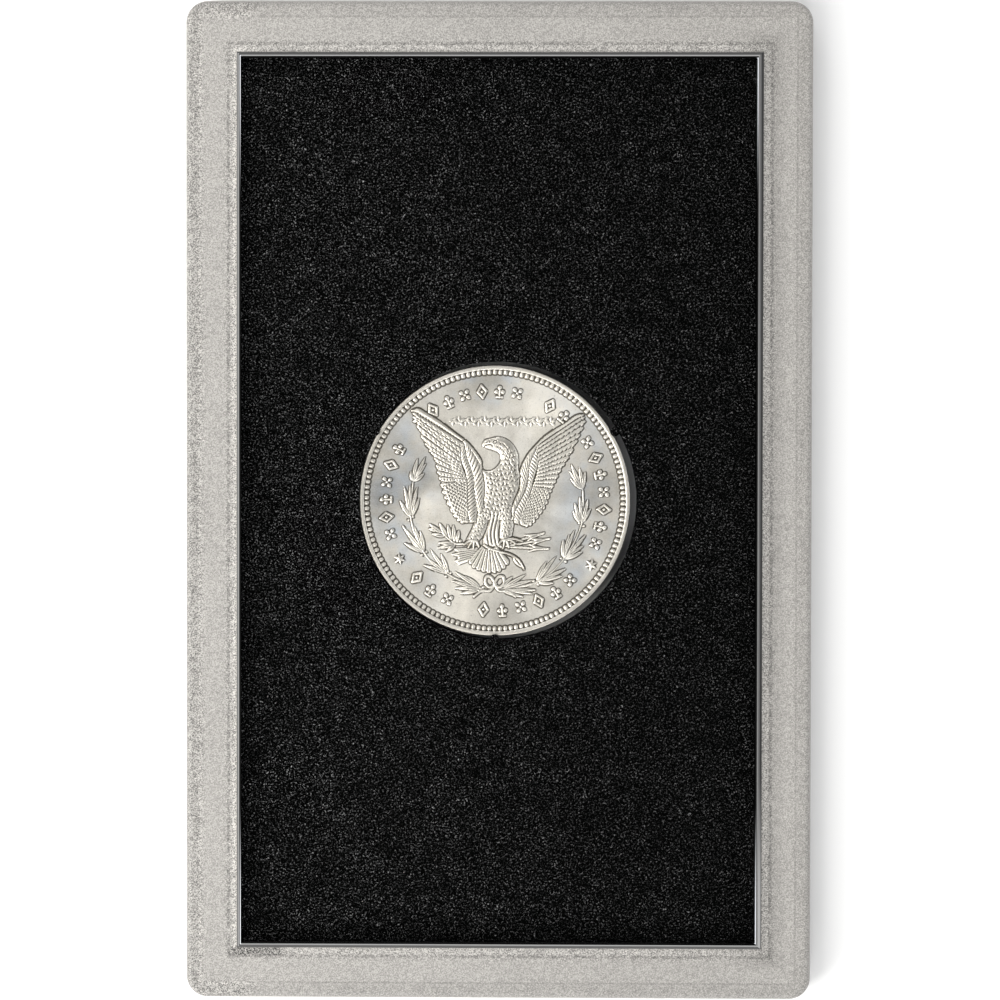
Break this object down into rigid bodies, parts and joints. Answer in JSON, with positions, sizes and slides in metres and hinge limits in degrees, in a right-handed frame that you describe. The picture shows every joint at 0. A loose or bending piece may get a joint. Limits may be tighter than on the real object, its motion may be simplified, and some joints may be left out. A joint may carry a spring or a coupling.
{
  "type": "coin display slab",
  "caption": "Sealed clear plastic slab with a frosted border, holding a large silver coin in the round hole of a black insert behind polished windows.",
  "frame": {"origin": "middle of the front face, which the slab lies on", "axes": "+Z from the front face to the back face, +X to the right and +Y to the top of the slab as seen from the back"},
  "size_m": [0.0876, 0.1396, 0.008],
  "materials": {
    "frosted_shell": "clear plastic, frosted round a polished window",
    "black_insert": "fine pebble grain",
    "coin_silver": "struck silver with soft lustre"
  },
  "bodies": {
    "case": {"front_shell": "frosted_shell", "rear_shell": "frosted_shell", "insert": "black_insert"},
    "coin": {"coin": "coin_silver"}
  },
  "joints": [
    {"name": "coin_turn", "type": "hinge", "parent": "case", "child": "coin", "pos_m": [-0.0006, 0, 0.0038], "axis": [0, 0, 1], "continuous": true}
  ]
}
